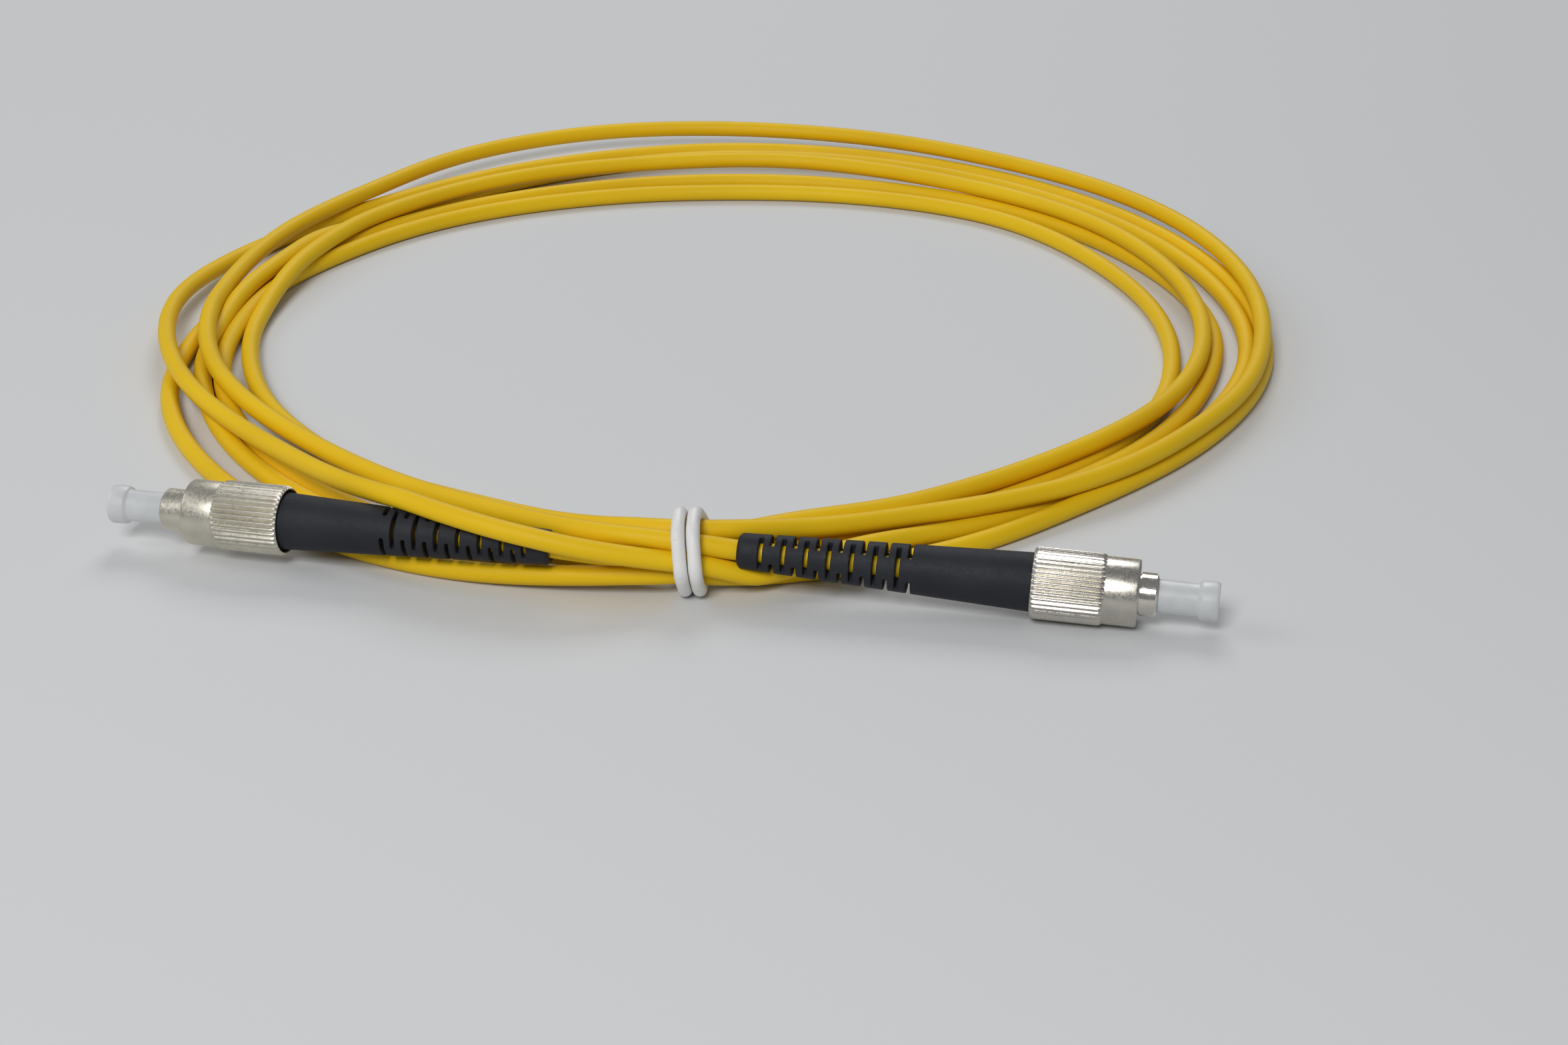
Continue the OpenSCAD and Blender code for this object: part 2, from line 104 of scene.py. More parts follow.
# ---------------------------------------------------------------- cord
# Each turn runs anticlockwise from the tie: (angle from the front in degrees, reach from the coil's centre
# in mm, height in mm), followed over the photograph.
CENTRE = np.array([7.0, 92.0])
TURNS = [
    [
        (11, 87, 4.2), (18, 83, 1.9), (25, 80.8, 1.5), (35, 79.8, 1.5), (45, 79.6, 1.5), (57, 79.8, 1.5),
        (64, 79.7, 1.5), (70, 79.2, 1.5), (75, 78.6, 1.5), (90, 77.8, 1.5), (113, 76.5, 1.5),
        (137, 77.5, 1.5), (160, 73.5, 1.5), (180, 71, 1.5), (202, 72.5, 1.5), (225, 76.5, 1.5),
        (250, 80.5, 1.5), (273, 83, 1.5), (290, 84, 1.5), (310, 85.8, 1.5), (330, 88, 1.5), (345, 90, 2.5)
    ],
    [
        (6, 89.4, 2), (11, 88.4, 1.7), (18, 86.3, 1.5), (25, 83.7, 1.5), (35, 82.8, 1.5), (45, 82.7, 1.5),
        (53, 83.4, 1.5), (60, 84, 1.5), (70, 84.4, 1.5), (78, 84.7, 1.5), (90, 86, 1.5), (113, 84, 1.5),
        (137, 82, 1.5), (160, 79, 1.5), (180, 77.5, 1.5), (202, 77.5, 1.5), (225, 79.8, 1.5),
        (254, 84.2, 1.5), (263, 85.6, 1.5), (274, 89.2, 1.5), (286, 92.7, 1.5), (298, 94.4, 1.5),
        (306, 95.2, 1.5), (328, 97.9, 1.5), (339.5, 97.1, 1.6), (351.5, 95.6, 3)
    ],
    [
        (6, 92.8, 1.5), (9, 92.4, 1.5), (18, 92.2, 1.5), (25, 91.2, 1.5), (30, 90.3, 1.5), (38, 88.5, 1.5),
        (45, 88.2, 1.5), (56, 89.6, 1.5), (68, 91.6, 1.5), (80, 93.5, 1.5), (90, 94.3, 1.5), (113, 95, 1.5),
        (137, 95.5, 1.5), (160, 96.5, 1.5), (180, 96.5, 1.5), (202, 93.5, 1.5), (225, 91, 1.5),
        (242, 93.8, 1.5), (250, 93.6, 2.5), (263, 94.6, 4), (273, 93.1, 4.5), (286, 90.5, 4.5),
        (302, 87.1, 4.8), (312, 88.4, 6.8), (323.3, 92.5, 9.2), (331.3, 97, 11.2), (334.5, 98.3, 11.8),
        (340, 98.8, 11.2), (346, 99.2, 9.9), (352, 98.6, 8)
    ],
    [
        (4.6, 94.5, 3.4), (6.6, 94.2, 3.1), (9, 93.6, 3.6), (11.6, 92.8, 4.2), (14.4, 91.4, 4.6),
        (18, 89.4, 4.2), (25, 86.4, 1.7), (30, 86.2, 1.5), (36, 85.8, 1.5), (45, 85.6, 1.5), (56, 87, 1.5),
        (68, 88.7, 1.5), (80, 90.5, 1.5), (90, 91.3, 1.5), (113, 91.5, 1.5), (137, 92, 1.5),
        (160, 92.6, 1.5), (180, 92, 1.5), (202, 88, 1.5), (225, 84, 1.5), (245, 83, 3.2), (255, 83.4, 4.5),
        (264, 85, 3.2), (272, 86.1, 1.5), (290, 87.2, 1.5), (308, 89, 1.5), (330, 91, 1.5), (345, 92, 3.2)
    ],
    [
        (8, 87, 7), (16.5, 84.5, 6), (25, 80.5, 5), (34.7, 79.1, 4.5), (45, 79.2, 4.5), (56, 80.7, 4.5),
        (66, 82.3, 4.5), (84.5, 83.4, 4.5), (107, 83.5, 4.5), (129, 83.2, 4.5), (140, 81.6, 4.5),
        (159, 81.5, 4.5), (173, 82.6, 4.5), (188, 80.8, 4.5), (207, 81.8, 4.5), (227, 81.4, 4.5),
        (240, 82, 4.5), (254, 80.6, 3), (266, 80, 1.5), (277, 78.6, 1.5), (289, 78.4, 1.5),
        (299, 77.9, 1.5), (310, 77.3, 1.5), (324, 78.8, 2.5), (334, 80.1, 4), (344, 85.5, 5.8),
        (350, 88.3, 7)
    ],
    [
        (3.2, 90.5, 8), (9, 88.1, 7), (16, 86.4, 6), (23.6, 85.1, 5), (31, 86.1, 4.5), (39, 87.5, 4.5),
        (48, 89.2, 4.5), (59, 89.7, 4.5), (69, 92.1, 4.5), (82, 92.9, 4.5), (90.6, 94, 4.5),
        (103, 95.6, 4.5), (115, 97.1, 4.5), (127, 97.8, 4.5), (146, 97.5, 4.5), (165, 99.5, 4.5),
        (182, 101.1, 4.5), (194, 102.1, 4.5), (211, 99.1, 4.5), (227, 91.8, 4.5), (240, 90.6, 4.5),
        (248, 88.8, 4.5), (263, 86.7, 4.5), (274, 86.2, 4.5), (290, 83.8, 4.5), (301, 81.6, 4.5),
        (315, 80.6, 4.5), (326, 82.1, 5), (336, 86.4, 7), (345, 91, 8.4), (351.4, 95, 9)
    ],
]
# The strand's place in the bound bundle after the left lead and after each turn: y and z at the tie.
TIE_X = 5.5
TIE_HALF = 2.2
SLOTS = [(-1.75, 6.3), (-0.05, 3.6), (-3.1, 3.6), (-4.9, 6.0), (1.3, 6.4), (-0.75, 9.25), (-3.7, 8.8)]
KEY_STEP = 3.0  # degrees
PATH_STEP = 1.5
SETTLE_ROUNDS = 420
SPACING = CORD_D + 0.03
NEAR = 4.6  # pairs of points closer than this are watched
HEIGHT_PULL = 0.08
GRAVITY = 0.01
PLACE_PULL = 0.15
STIFFNESS = 0.4
LARGEST_SHIFT = 0.35
PLUG_WIDE_FROM = NOSE - 18.2  # from here a plug is as wide as its nut
PLUG_END = 62.0


def even_points(points, step):
    """The same line with its points a step apart."""
    gaps = np.linalg.norm(np.diff(points, axis=0), axis=1)
    run = np.concatenate([[0.0], np.cumsum(gaps)])
    count = int(round(run[-1] / step))
    at = np.linspace(0.0, run[-1], count + 1)
    return np.stack([np.interp(at, run, points[:, i]) for i in range(3)], axis=1)


def smooth_path(points, passes, weight=0.5):
    points = points.copy()
    for _ in range(passes):
        points[1:-1] += weight * ((points[:-2] + points[2:]) / 2 - points[1:-1])
    return points


def cord_keys():
    """The cord's rough path, from the left boot through the bundle and the turns to the right boot."""
    start, axis, _ = PLUGS["left"]
    keys = [start - axis * t for t in (0.0, 1.5, 3.0)]
    keys += [np.array([-6.5, -3.3, 6.3]), np.array([-1.5, -2.4, 5.4])]
    for (y, z), turn in zip(SLOTS, TURNS):
        keys += [np.array([TIE_X - TIE_HALF, y, z]), np.array([TIE_X + TIE_HALF, y, z])]
        steps = np.arange(turn[0][0], turn[-1][0] + 0.01, KEY_STEP)
        angles, reaches, heights = zip(*turn)
        reach = np.interp(steps, angles, reaches)
        high = np.interp(steps, angles, heights)
        a = np.radians(steps)
        for i in range(len(steps)):
            x = CENTRE[0] + reach[i] * math.sin(a[i])
            keys.append(np.array([x, CENTRE[1] - reach[i] * math.cos(a[i]), high[i]]))
    y, z = SLOTS[-1]
    end, axis, _ = PLUGS["right"]
    keys += [np.array([TIE_X - TIE_HALF, y, z]), np.array([TIE_X, y + 0.1, z - 0.2])]
    keys += [end - axis * t for t in (1.5, 0.0)]
    return np.array(keys)


def near_pairs(points):
    """Pairs of points on different strands that could touch."""
    found = []
    for lo in range(0, len(points), 300):
        part = points[lo:lo + 300]
        d2 = ((part[:, None, :] - points[None, :, :]) ** 2).sum(axis=2)
        i, j = np.nonzero(d2 < NEAR ** 2)
        i = i + lo
        keep = j > i + 5
        found.append(np.stack([i[keep], j[keep]]))
    return np.concatenate(found, axis=1)


def settle(points, rounds):
    """Lays the cord down: gravity, a diameter between strands, the boots in the way, and a stiff line."""
    target = points.copy()
    n = len(points)
    fixed = (np.abs(points[:, 0] - TIE_X) < 2.3) & (points[:, 1] < 6.0)
    fixed[:3] = True
    fixed[-3:] = True
    free = ~fixed
    for step in range(rounds):
        late = step / rounds
        points[free, 2] += (HEIGHT_PULL * (target[:, 2] - points[:, 2]) - GRAVITY)[free]
        # a raised strand keeps its place in the view, so it shifts along the line of sight
        dz = points[:, 2] - target[:, 2]
        aim = target[:, :2] + (CAM[:2] - target[:, :2]) * (dz / (CAM[2] - target[:, 2]))[:, None]
        pull = (aim - points[:, :2]) * PLACE_PULL * (1.0 - 0.4 * late)
        points[free, :2] += pull[free]
        # a change of bend is evened out over 1, 2 and 4 points
        for s in (1, 2, 4):
            bend = np.zeros_like(points)
            bend[s:-s] = (points[:-2 * s] + points[2 * s:]) / 2 - points[s:-s]
            bend2 = np.zeros_like(points)
            bend2[2 * s:-2 * s] = (bend[s:-3 * s] + bend[3 * s:-s]) / 2 - bend[2 * s:-2 * s]
            points[free] -= STIFFNESS * bend2[free]
        if step % 6 == 0:
            pairs = near_pairs(points)
        for _ in range(2):
            i, j = pairs
            gap = points[j] - points[i]
            dist = np.linalg.norm(gap, axis=1) + 1e-9
            push = SPACING - dist
            hit = push > 0
            i, j, gap, dist, push = i[hit], j[hit], gap[hit], dist[hit], push[hit]
            move = gap / dist[:, None] * (push * 0.5 * 0.5)[:, None]
            shift = np.zeros_like(points)
            for c in range(3):
                shift[:, c] -= np.bincount(i, move[:, c], n)
                shift[:, c] += np.bincount(j, move[:, c], n)
            size = np.linalg.norm(shift, axis=1)
            cap = np.minimum(1.0, LARGEST_SHIFT / (size + 1e-9))
            points[free] += (shift * cap[:, None])[free]
            for side, (end, axis, _) in PLUGS.items():
                rel = points - end
                u = rel @ axis
                off = rel - u[:, None] * axis
                r = np.linalg.norm(off, axis=1) + 1e-9
                room = np.where(u > PLUG_WIDE_FROM, NUT_R, boot_r(u)) + CORD_R + 0.1
                inside = (u > 0.3) & (u < PLUG_END) & (r < room) & free
                points[inside] += off[inside] / r[inside, None] * (room - r)[inside, None]
            points[:, 2] = np.maximum(points[:, 2], CORD_R + 0.02)
        points[fixed] = target[fixed]
    return points


def make_cord():
    path = even_points(cord_keys(), PATH_STEP)
    path = smooth_path(path, 12)
    path = even_points(path, PATH_STEP)
    path = settle(path, SETTLE_ROUNDS)
    return smooth_path(path, 3, 0.4)


def make_cord_object(path):
    """The cord as one open curve. Its points' radius is the cord's, so that its box stays tight."""
    data = bpy.data.curves.new("patch_cord", "CURVE")
    data.dimensions = "3D"
    line = data.splines.new("POLY")
    line.points.add(len(path) - 1)
    flat = np.ones((len(path), 4))
    flat[:, :3] = path * MM
    line.points.foreach_set("co", flat.ravel())
    line.points.foreach_set("radius", np.full(len(path), CORD_R * MM))
    data.bevel_depth = 1.0
    data.bevel_resolution = 7
    data.use_fill_caps = True
    line.use_smooth = True
    data.twist_mode = "MINIMUM"
    cord = bpy.data.objects.new("patch_cord", data)
    bpy.context.scene.collection.objects.link(cord)
    return cord


CORD_PATH = make_cord()
cord = make_cord_object(CORD_PATH)
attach(cord, "cord")
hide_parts("cord_coil", "left_cord_lead", "right_cord_lead")


# ---------------------------------------------------------------- materials


def material(name, color, rough, metal=0.0, **sockets):
    mat = bpy.data.materials.new(name)
    mat.use_nodes = True
    bsdf = mat.node_tree.nodes["Principled BSDF"]
    bsdf.inputs["Base Color"].default_value = (*color, 1)
    bsdf.inputs["Roughness"].default_value = rough
    bsdf.inputs["Metallic"].default_value = metal
    for key, value in sockets.items():
        bsdf.inputs[key.replace("_", " ")].default_value = value
    return mat


def noise(mat, scale, detail=3.0, stretch=(1, 1, 1), rough=0.55):
    """A noise in the object's own coordinates; scale is features per metre."""
    nodes, links = mat.node_tree.nodes, mat.node_tree.links
    where = nodes.new("ShaderNodeTexCoord")
    fit = nodes.new("ShaderNodeMapping")
    fit.inputs["Scale"].default_value = stretch
    tex = nodes.new("ShaderNodeTexNoise")
    tex.inputs["Scale"].default_value = scale
    tex.inputs["Detail"].default_value = detail
    tex.inputs["Roughness"].default_value = rough
    links.new(where.outputs["Object"], fit.inputs["Vector"])
    links.new(fit.outputs["Vector"], tex.inputs["Vector"])
    return tex.outputs["Fac"]


def ramp(mat, value, stops):
    """A colour between the stops (place, colour)."""
    nodes, links = mat.node_tree.nodes, mat.node_tree.links
    node = nodes.new("ShaderNodeValToRGB")
    band = node.color_ramp
    for element, (at, color) in zip(band.elements, stops):
        element.position = at
        element.color = (*color, 1)
    links.new(value, node.inputs["Fac"])
    return node.outputs["Color"]


def grey(mat, value, low, high, at=(0.3, 0.7)):
    """A number from low to high while the value goes over the range at."""
    node = mat.node_tree.nodes.new("ShaderNodeMapRange")
    node.inputs["From Min"].default_value = at[0]
    node.inputs["From Max"].default_value = at[1]
    node.inputs["To Min"].default_value = low
    node.inputs["To Max"].default_value = high
    mat.node_tree.links.new(value, node.inputs["Value"])
    return node.outputs["Result"]


def mix(mat, factor, a, b):
    node = mat.node_tree.nodes.new("ShaderNodeMix")
    node.data_type = "RGBA"
    for value, socket in ((factor, node.inputs["Factor"]), (a, node.inputs[6]), (b, node.inputs[7])):
        if isinstance(value, tuple):
            socket.default_value = (*value, 1)
        else:
            mat.node_tree.links.new(value, socket)
    return node.outputs[2]


def bump(mat, *layers):
    """layers: (height output, strength, distance in metres), chained into the normal."""
    nodes, links = mat.node_tree.nodes, mat.node_tree.links
    last = None
    for value, strength, distance in layers:
        node = nodes.new("ShaderNodeBump")
        node.inputs["Strength"].default_value = strength
        node.inputs["Distance"].default_value = distance
        links.new(value, node.inputs["Height"])
        if last is not None:
            links.new(last, node.inputs["Normal"])
        last = node.outputs["Normal"]
    links.new(last, nodes["Principled BSDF"].inputs["Normal"])


def into(mat, value, socket):
    mat.node_tree.links.new(value, mat.node_tree.nodes["Principled BSDF"].inputs[socket])


def make_jacket(name):
    mat = material(name, (0.81, 0.515, 0.007), 0.55, Specular_IOR_Level=0.20)
    tone = noise(mat, 35, 2)
    fine = noise(mat, 9000, 2)
    dust = noise(mat, 900, 6, rough=0.7)
    body = ramp(mat, tone, [(0.3, (0.77, 0.485, 0.006)), (0.7, (0.84, 0.545, 0.008))])
    dusty = grey(mat, dust, 0.0, 0.35, (0.70, 0.80))
    into(mat, mix(mat, dusty, body, (0.78, 0.54, 0.09)), "Base Color")
    into(mat, grey(mat, dust, 0.44, 0.58), "Roughness")
    bump(mat, (fine, 0.10, 0.00002), (noise(mat, 500, 3), 0.12, 0.00008))
    return mat


def make_rubber():
    mat = material("boot_rubber", (0.015, 0.016, 0.021), 0.60, Specular_IOR_Level=0.30)
    speck = noise(mat, 3200, 3, rough=0.6)
    lint = noise(mat, 1400, 7, rough=0.8)
    body = ramp(mat, noise(mat, 150, 3), [(0.3, (0.013, 0.014, 0.019)), (0.7, (0.019, 0.020, 0.026))])
    dots = grey(mat, speck, 0.0, 0.9, (0.74, 0.80))
    first = mix(mat, dots, body, (0.10, 0.10, 0.115))
    into(mat, mix(mat, grey(mat, lint, 0.0, 0.5, (0.70, 0.76)), first, (0.07, 0.07, 0.08)), "Base Color")
    into(mat, grey(mat, lint, 0.55, 0.72), "Roughness")
    bump(mat, (noise(mat, 6000, 2), 0.25, 0.00002), (speck, 0.12, 0.00004))
    return mat


def make_nickel(name, rough, sparkle, tint=(0.62, 0.59, 0.53)):
    mat = material(name, tint, rough, 1.0)
    grain = noise(mat, 5200, 4, rough=0.75)
    pits = noise(mat, 2400, 5, rough=0.7)
    warm = tuple(v * 0.93 for v in tint)
    pale = tuple(min(1.0, v * 1.06) for v in tint)
    into(mat, ramp(mat, noise(mat, 420, 4), [(0.3, warm), (0.7, pale)]), "Base Color")
    into(mat, grey(mat, pits, max(0.04, rough - 0.12), rough + 0.14), "Roughness")
    bump(mat, (grain, sparkle, 0.00005), (pits, sparkle * 0.6, 0.00006))
    return mat


def make_cap_plastic():
    mat = material("cap_plastic", (0.60, 0.62, 0.62), 0.45, Subsurface_Weight=0.3, Subsurface_Scale=0.002,
                   Transmission_Weight=0.08, IOR=1.45)
    cloud = noise(mat, 300, 3)
    into(mat, ramp(mat, cloud, [(0.3, (0.56, 0.585, 0.585)), (0.7, (0.64, 0.66, 0.66))]), "Base Color")
    into(mat, grey(mat, noise(mat, 1800, 4), 0.38, 0.52), "Roughness")
    bump(mat, (noise(mat, 2500, 3), 0.10, 0.00003))
    return mat


def make_tie_plastic():
    mat = material("tie_plastic", (0.80, 0.80, 0.78), 0.40, Subsurface_Weight=0.15, Subsurface_Scale=0.0006)
    grime = noise(mat, 700, 6, rough=0.75)
    base = ramp(mat, noise(mat, 120, 2), [(0.3, (0.74, 0.74, 0.72)), (0.7, (0.82, 0.82, 0.80))])
    into(mat, mix(mat, grey(mat, grime, 0.0, 0.5, (0.58, 0.72)), base, (0.42, 0.41, 0.39)), "Base Color")
    into(mat, grey(mat, grime, 0.34, 0.55), "Roughness")
    bump(mat, (noise(mat, 2600, 3), 0.12, 0.00004))
    return mat


def make_plain(name, color, rough, metal=0.0, scale=1200, grain=0.1, **sockets):
    mat = material(name, color, rough, metal, **sockets)
    low = tuple(v * 0.85 for v in color)
    high = tuple(min(1.0, v * 1.1) for v in color)
    into(mat, ramp(mat, noise(mat, scale, 4), [(0.3, low), (0.7, high)]), "Base Color")
    into(mat, grey(mat, noise(mat, scale * 1.7, 3), max(0.03, rough - 0.08), rough + 0.1), "Roughness")
    bump(mat, (noise(mat, scale * 3, 3), grain, 0.00003))
    return mat


JACKET = make_jacket("cord_jacket")
RUBBER = make_rubber()
NUT_METAL = {
    "right": make_nickel("nut_nickel_bright", 0.28, 0.14, (0.58, 0.55, 0.49)),
    "left": make_nickel("nut_nickel_satin", 0.38, 0.10, (0.65, 0.615, 0.52)),
}
NOSE_METAL = {
    "right": make_nickel("nose_nickel_polished", 0.15, 0.03, (0.68, 0.65, 0.58)),
    "left": make_nickel("nose_nickel_satin", 0.36, 0.08, (0.66, 0.625, 0.53)),
}
INNER_METAL = make_nickel("inner_nickel", 0.30, 0.15)
STEEL = make_plain("steel", (0.46, 0.47, 0.49), 0.32, 1.0)
CAP = make_cap_plastic()
TIE = make_tie_plastic()
CERAMIC = make_plain("zirconia", (0.82, 0.82, 0.79), 0.18, scale=600, grain=0.03)
ARAMID = make_plain("aramid", (0.66, 0.52, 0.12), 0.75, scale=2500, grain=0.5)
BUFFER = make_plain("buffer", (0.80, 0.80, 0.77), 0.45)
GLASS = make_plain("glass_fibre", (0.80, 0.88, 0.90), 0.05, Transmission_Weight=0.9)

CAD_LOOKS = {
    "ferrule": CERAMIC, "ferrule_flange": INNER_METAL, "ferrule_spring": STEEL, "back_body": INNER_METAL,
    "nut_washer": STEEL, "crimp_sleeve": STEEL, "aramid_yarn": ARAMID, "jacket_end": JACKET, "buffer": BUFFER,
    "fibre": GLASS,
}
for node_name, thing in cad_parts.items():
    side, _, part = node_name.partition("_")
    look = CAD_LOOKS.get(part)
    if part == "plug_frame":
        look = NOSE_METAL[side]
    if look is None:
        continue
    thing.data.materials.clear()
    thing.data.materials.append(look)

cord.data.materials.append(JACKET)

# ---------------------------------------------------------------- shaped pieces


def add_piece(name, verts, faces, mat, body, replaced, smooth_angle=35.0):
    mesh = bpy.data.meshes.new(name)
    mesh.from_pydata([tuple(v) for v in verts], [], faces)
    mesh.validate()
    mesh.update()
    for poly in mesh.polygons:
        poly.use_smooth = True
    mesh.set_sharp_from_angle(angle=math.radians(smooth_angle))
    mesh.materials.append(mat)
    o = bpy.data.objects.new(name, mesh)
    bpy.context.scene.collection.objects.link(o)
    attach(o, body)
    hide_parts(*replaced)
    return o


def placed(matrix, rows):
    """Rows of points in mm along a plug, in metres in the frame."""
    return np.concatenate(rows) * MM @ np.array(matrix.to_3x3()).T + np.array(matrix.translation)


def band_faces(i, n, segments):
    """The faces between ring i and ring n."""
    faces = []
    for k in range(segments):
        m = (k + 1) % segments
        faces.append((i * segments + k, n * segments + k, n * segments + m, i * segments + m))
    return faces


def lathe(matrix, profile, segments, ridge):
    """Turns a closed profile of (x, r, ridge height) in mm about X. ridge(angle) is 0 to 1."""
    turn = np.linspace(0, 2 * math.pi, segments, endpoint=False)
    shape = ridge(turn)
    rings, faces = [], []
    for i, (x, r, high) in enumerate(profile):
        rr = r + high * shape
        rings.append(np.stack([np.full(segments, x), rr * np.cos(turn), rr * np.sin(turn)], axis=1))
        faces += band_faces(i, (i + 1) % len(profile), segments)
    return placed(matrix, rings), faces


def capped(matrix, profile, segments):
    """Turns an open profile of (x, r) that starts and ends on the axis."""
    inner = profile[1:-1]
    turn = np.linspace(0, 2 * math.pi, segments, endpoint=False)
    rings = [np.stack([np.full(segments, x), r * np.cos(turn), r * np.sin(turn)], axis=1) for x, r in inner]
    tips = np.array([[profile[0][0], 0, 0], [profile[-1][0], 0, 0]])
    flat = placed(matrix, rings + [tips])
    faces = []
    for i in range(len(inner) - 1):
        faces += band_faces(i, i + 1, segments)
    first, last = len(inner) * segments, len(inner) * segments + 1
    base = (len(inner) - 1) * segments
    for k in range(segments):
        m = (k + 1) % segments
        faces.append((first, k, m))
        faces.append((last, base + m, base + k))
    return flat, faces


KNURLS = 40
THREAD_PITCH = 0.75
THREAD_MINOR_R = 3.65
THREAD_ROOT_R = 3.98
THREAD_GROOVES = 7
CAP_BORE_R = 1.275


def nut_profile(front):
    """The nut's section: the knurled outside, the round front, the thread, and the recess of the washer."""
    out = [
        (-14.97, 4.63, 0), (-15.0, 4.68, 0), (-14.97, 4.74, 0.02), (-14.86, 4.76, 0.12),
        (-14.70, 4.76, 0.24), (-14.50, 4.76, 0.31), (-14.25, 4.76, 0.34), (-10.0, 4.76, 0.34),
        (-5.45, 4.76, 0.34), (-5.2, 4.76, 0.30), (-5.0, 4.76, 0.20), (-4.88, 4.77, 0.08),
        (-4.80, 4.78, 0.0), (-4.70, 4.80, 0.0), (-2.5, 4.80, 0.0), (-0.40, 4.80, 0),
        (-0.22, 4.77, 0), (-0.08, 4.68, 0), (0.0, 4.55, 0), (0.0, 4.12, 0), (-0.06, 4.04, 0),
        (-0.40, 3.70, 0),
    ]
    for i in range(THREAD_GROOVES):
        x = -0.8 - i * THREAD_PITCH
        out += [(x + 0.30, THREAD_MINOR_R, 0), (x + 0.05, THREAD_ROOT_R, 0),
                (x - 0.05, THREAD_ROOT_R, 0), (x - 0.30, THREAD_MINOR_R, 0)]
    out += [
        (-6.40, THREAD_MINOR_R, 0), (-6.42, 3.02, 0), (-8.78, 3.02, 0), (-8.80, 4.07, 0),
        (-9.58, 4.07, 0), (-9.60, 4.58, 0), (-14.90, 4.58, 0),
    ]
    return [(front + x, r, h) for x, r, h in out]


def knurl(turn):
    """Straight ridges with narrow valleys."""
    wave = 0.5 + 0.5 * np.cos(turn * KNURLS)
    return wave ** 0.75


def cap_profile():
    """The dust cap's section: a tube with a blind bore and a wider, rounded head."""
    stem = NOSE + 5.8
    inside = [
        (NOSE + 2.3, 0.6), (NOSE + 2.3, 1.22), (NOSE + 2.2, CAP_BORE_R), (NOSE - 2.8, CAP_BORE_R),
        (NOSE - 2.98, 1.4),
    ]
    outside = [
        (NOSE - 3.0, 2.1), (NOSE - 2.85, 2.25), (NOSE - 2.5, 2.35), (NOSE + 3.0, 2.35),
        (stem - 0.35, 2.33), (stem - 0.15, 2.37), (stem, 2.50), (stem + 0.18, 2.68),
        (stem + 0.45, 2.78), (stem + 1.4, 2.84), (stem + 2.2, 2.84), (stem + 2.5, 2.80),
        (stem + 2.68, 2.68), (stem + 2.75, 2.45), (stem + 2.70, 1.6), (stem + 2.66, 0.8),
    ]
    return [(NOSE + 2.3, 0)] + inside + outside + [(stem + 2.65, 0)]


for side, (_, _, matrix) in PLUGS.items():
    verts, faces = lathe(matrix, nut_profile(NUT_FRONT[side]), KNURLS * 10, knurl)
    add_piece(side + "_knurled_nut", verts, faces, NUT_METAL[side], side + "_nut",
              [side + "_coupling_nut"], 50.0)
    verts, faces = capped(matrix, cap_profile(), 72)
    add_piece(side + "_soft_cap", verts, faces, CAP, side + "_cap", [side + "_dust_cap"])


SPRING_SEAT = 46.9
FLANGE_BACK = 50.7
SPRING_R = 1.6
SPRING_WIRE_R = 0.175
SPRING_COILS = 6
SPRING_END_RISE = 0.37
SPRING_GAP = 0.02


def make_spring(side):
    """The ferrule's compression spring, with closed end coils, at one length; the real one shortens as the
    ferrule is pushed back.
    """
    end, axis, matrix = PLUGS[side]
    room = FLANGE_BACK - SPRING_SEAT - 2 * SPRING_WIRE_R - 2 * SPRING_GAP
    coil = np.linspace(0.0, SPRING_COILS, SPRING_COILS * 32 + 1)
    rise = np.interp(coil, [0, 1, SPRING_COILS - 1, SPRING_COILS],
                     [0, SPRING_END_RISE, room - SPRING_END_RISE, room])
    turn = 2 * math.pi * coil
    x = SPRING_SEAT + SPRING_WIRE_R + SPRING_GAP + rise
    path = np.stack([x, SPRING_R * np.cos(turn), SPRING_R * np.sin(turn)], axis=1)
    path = path @ np.array(matrix.to_3x3()).T + end
    verts, faces = tube(path, SPRING_WIRE_R, 12, 0.02, 0.03)
    spring = add_piece(side + "_coil_spring", verts, faces, STEEL, "cord",
                       [side + "_ferrule_spring"])
    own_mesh(spring)


def rounded_copy(node, name, voxel, passes):
    """The CAD solid's own shape with its moulded edges rounded."""
    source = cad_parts[node]
    work = bpy.data.objects.new(name, source.data.copy())
    bpy.context.scene.collection.objects.link(work)
    step = work.modifiers.new("remesh", "REMESH")
    step.mode = "VOXEL"
    step.voxel_size = voxel
    soft = work.modifiers.new("soft", "SMOOTH")
    soft.factor = 0.5
    soft.iterations = passes
    bpy.context.view_layer.update()
    graph = bpy.context.evaluated_depsgraph_get()
    mesh = bpy.data.meshes.new_from_object(work.evaluated_get(graph))
    old = work.data
    work.modifiers.clear()
    work.data = mesh
    bpy.data.meshes.remove(old)
    for poly in mesh.polygons:
        poly.use_smooth = True
    return work


BOOT_VOXEL = 0.00014
BOOT_PASSES = 4
for side in PLUGS:
    boot = rounded_copy(side + "_boot", side + "_ribbed_boot", BOOT_VOXEL, BOOT_PASSES)
    boot.data.materials.clear()
    boot.data.materials.append(RUBBER)
    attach(boot, "cord")
    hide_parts(side + "_boot")

# ---------------------------------------------------------------- tie


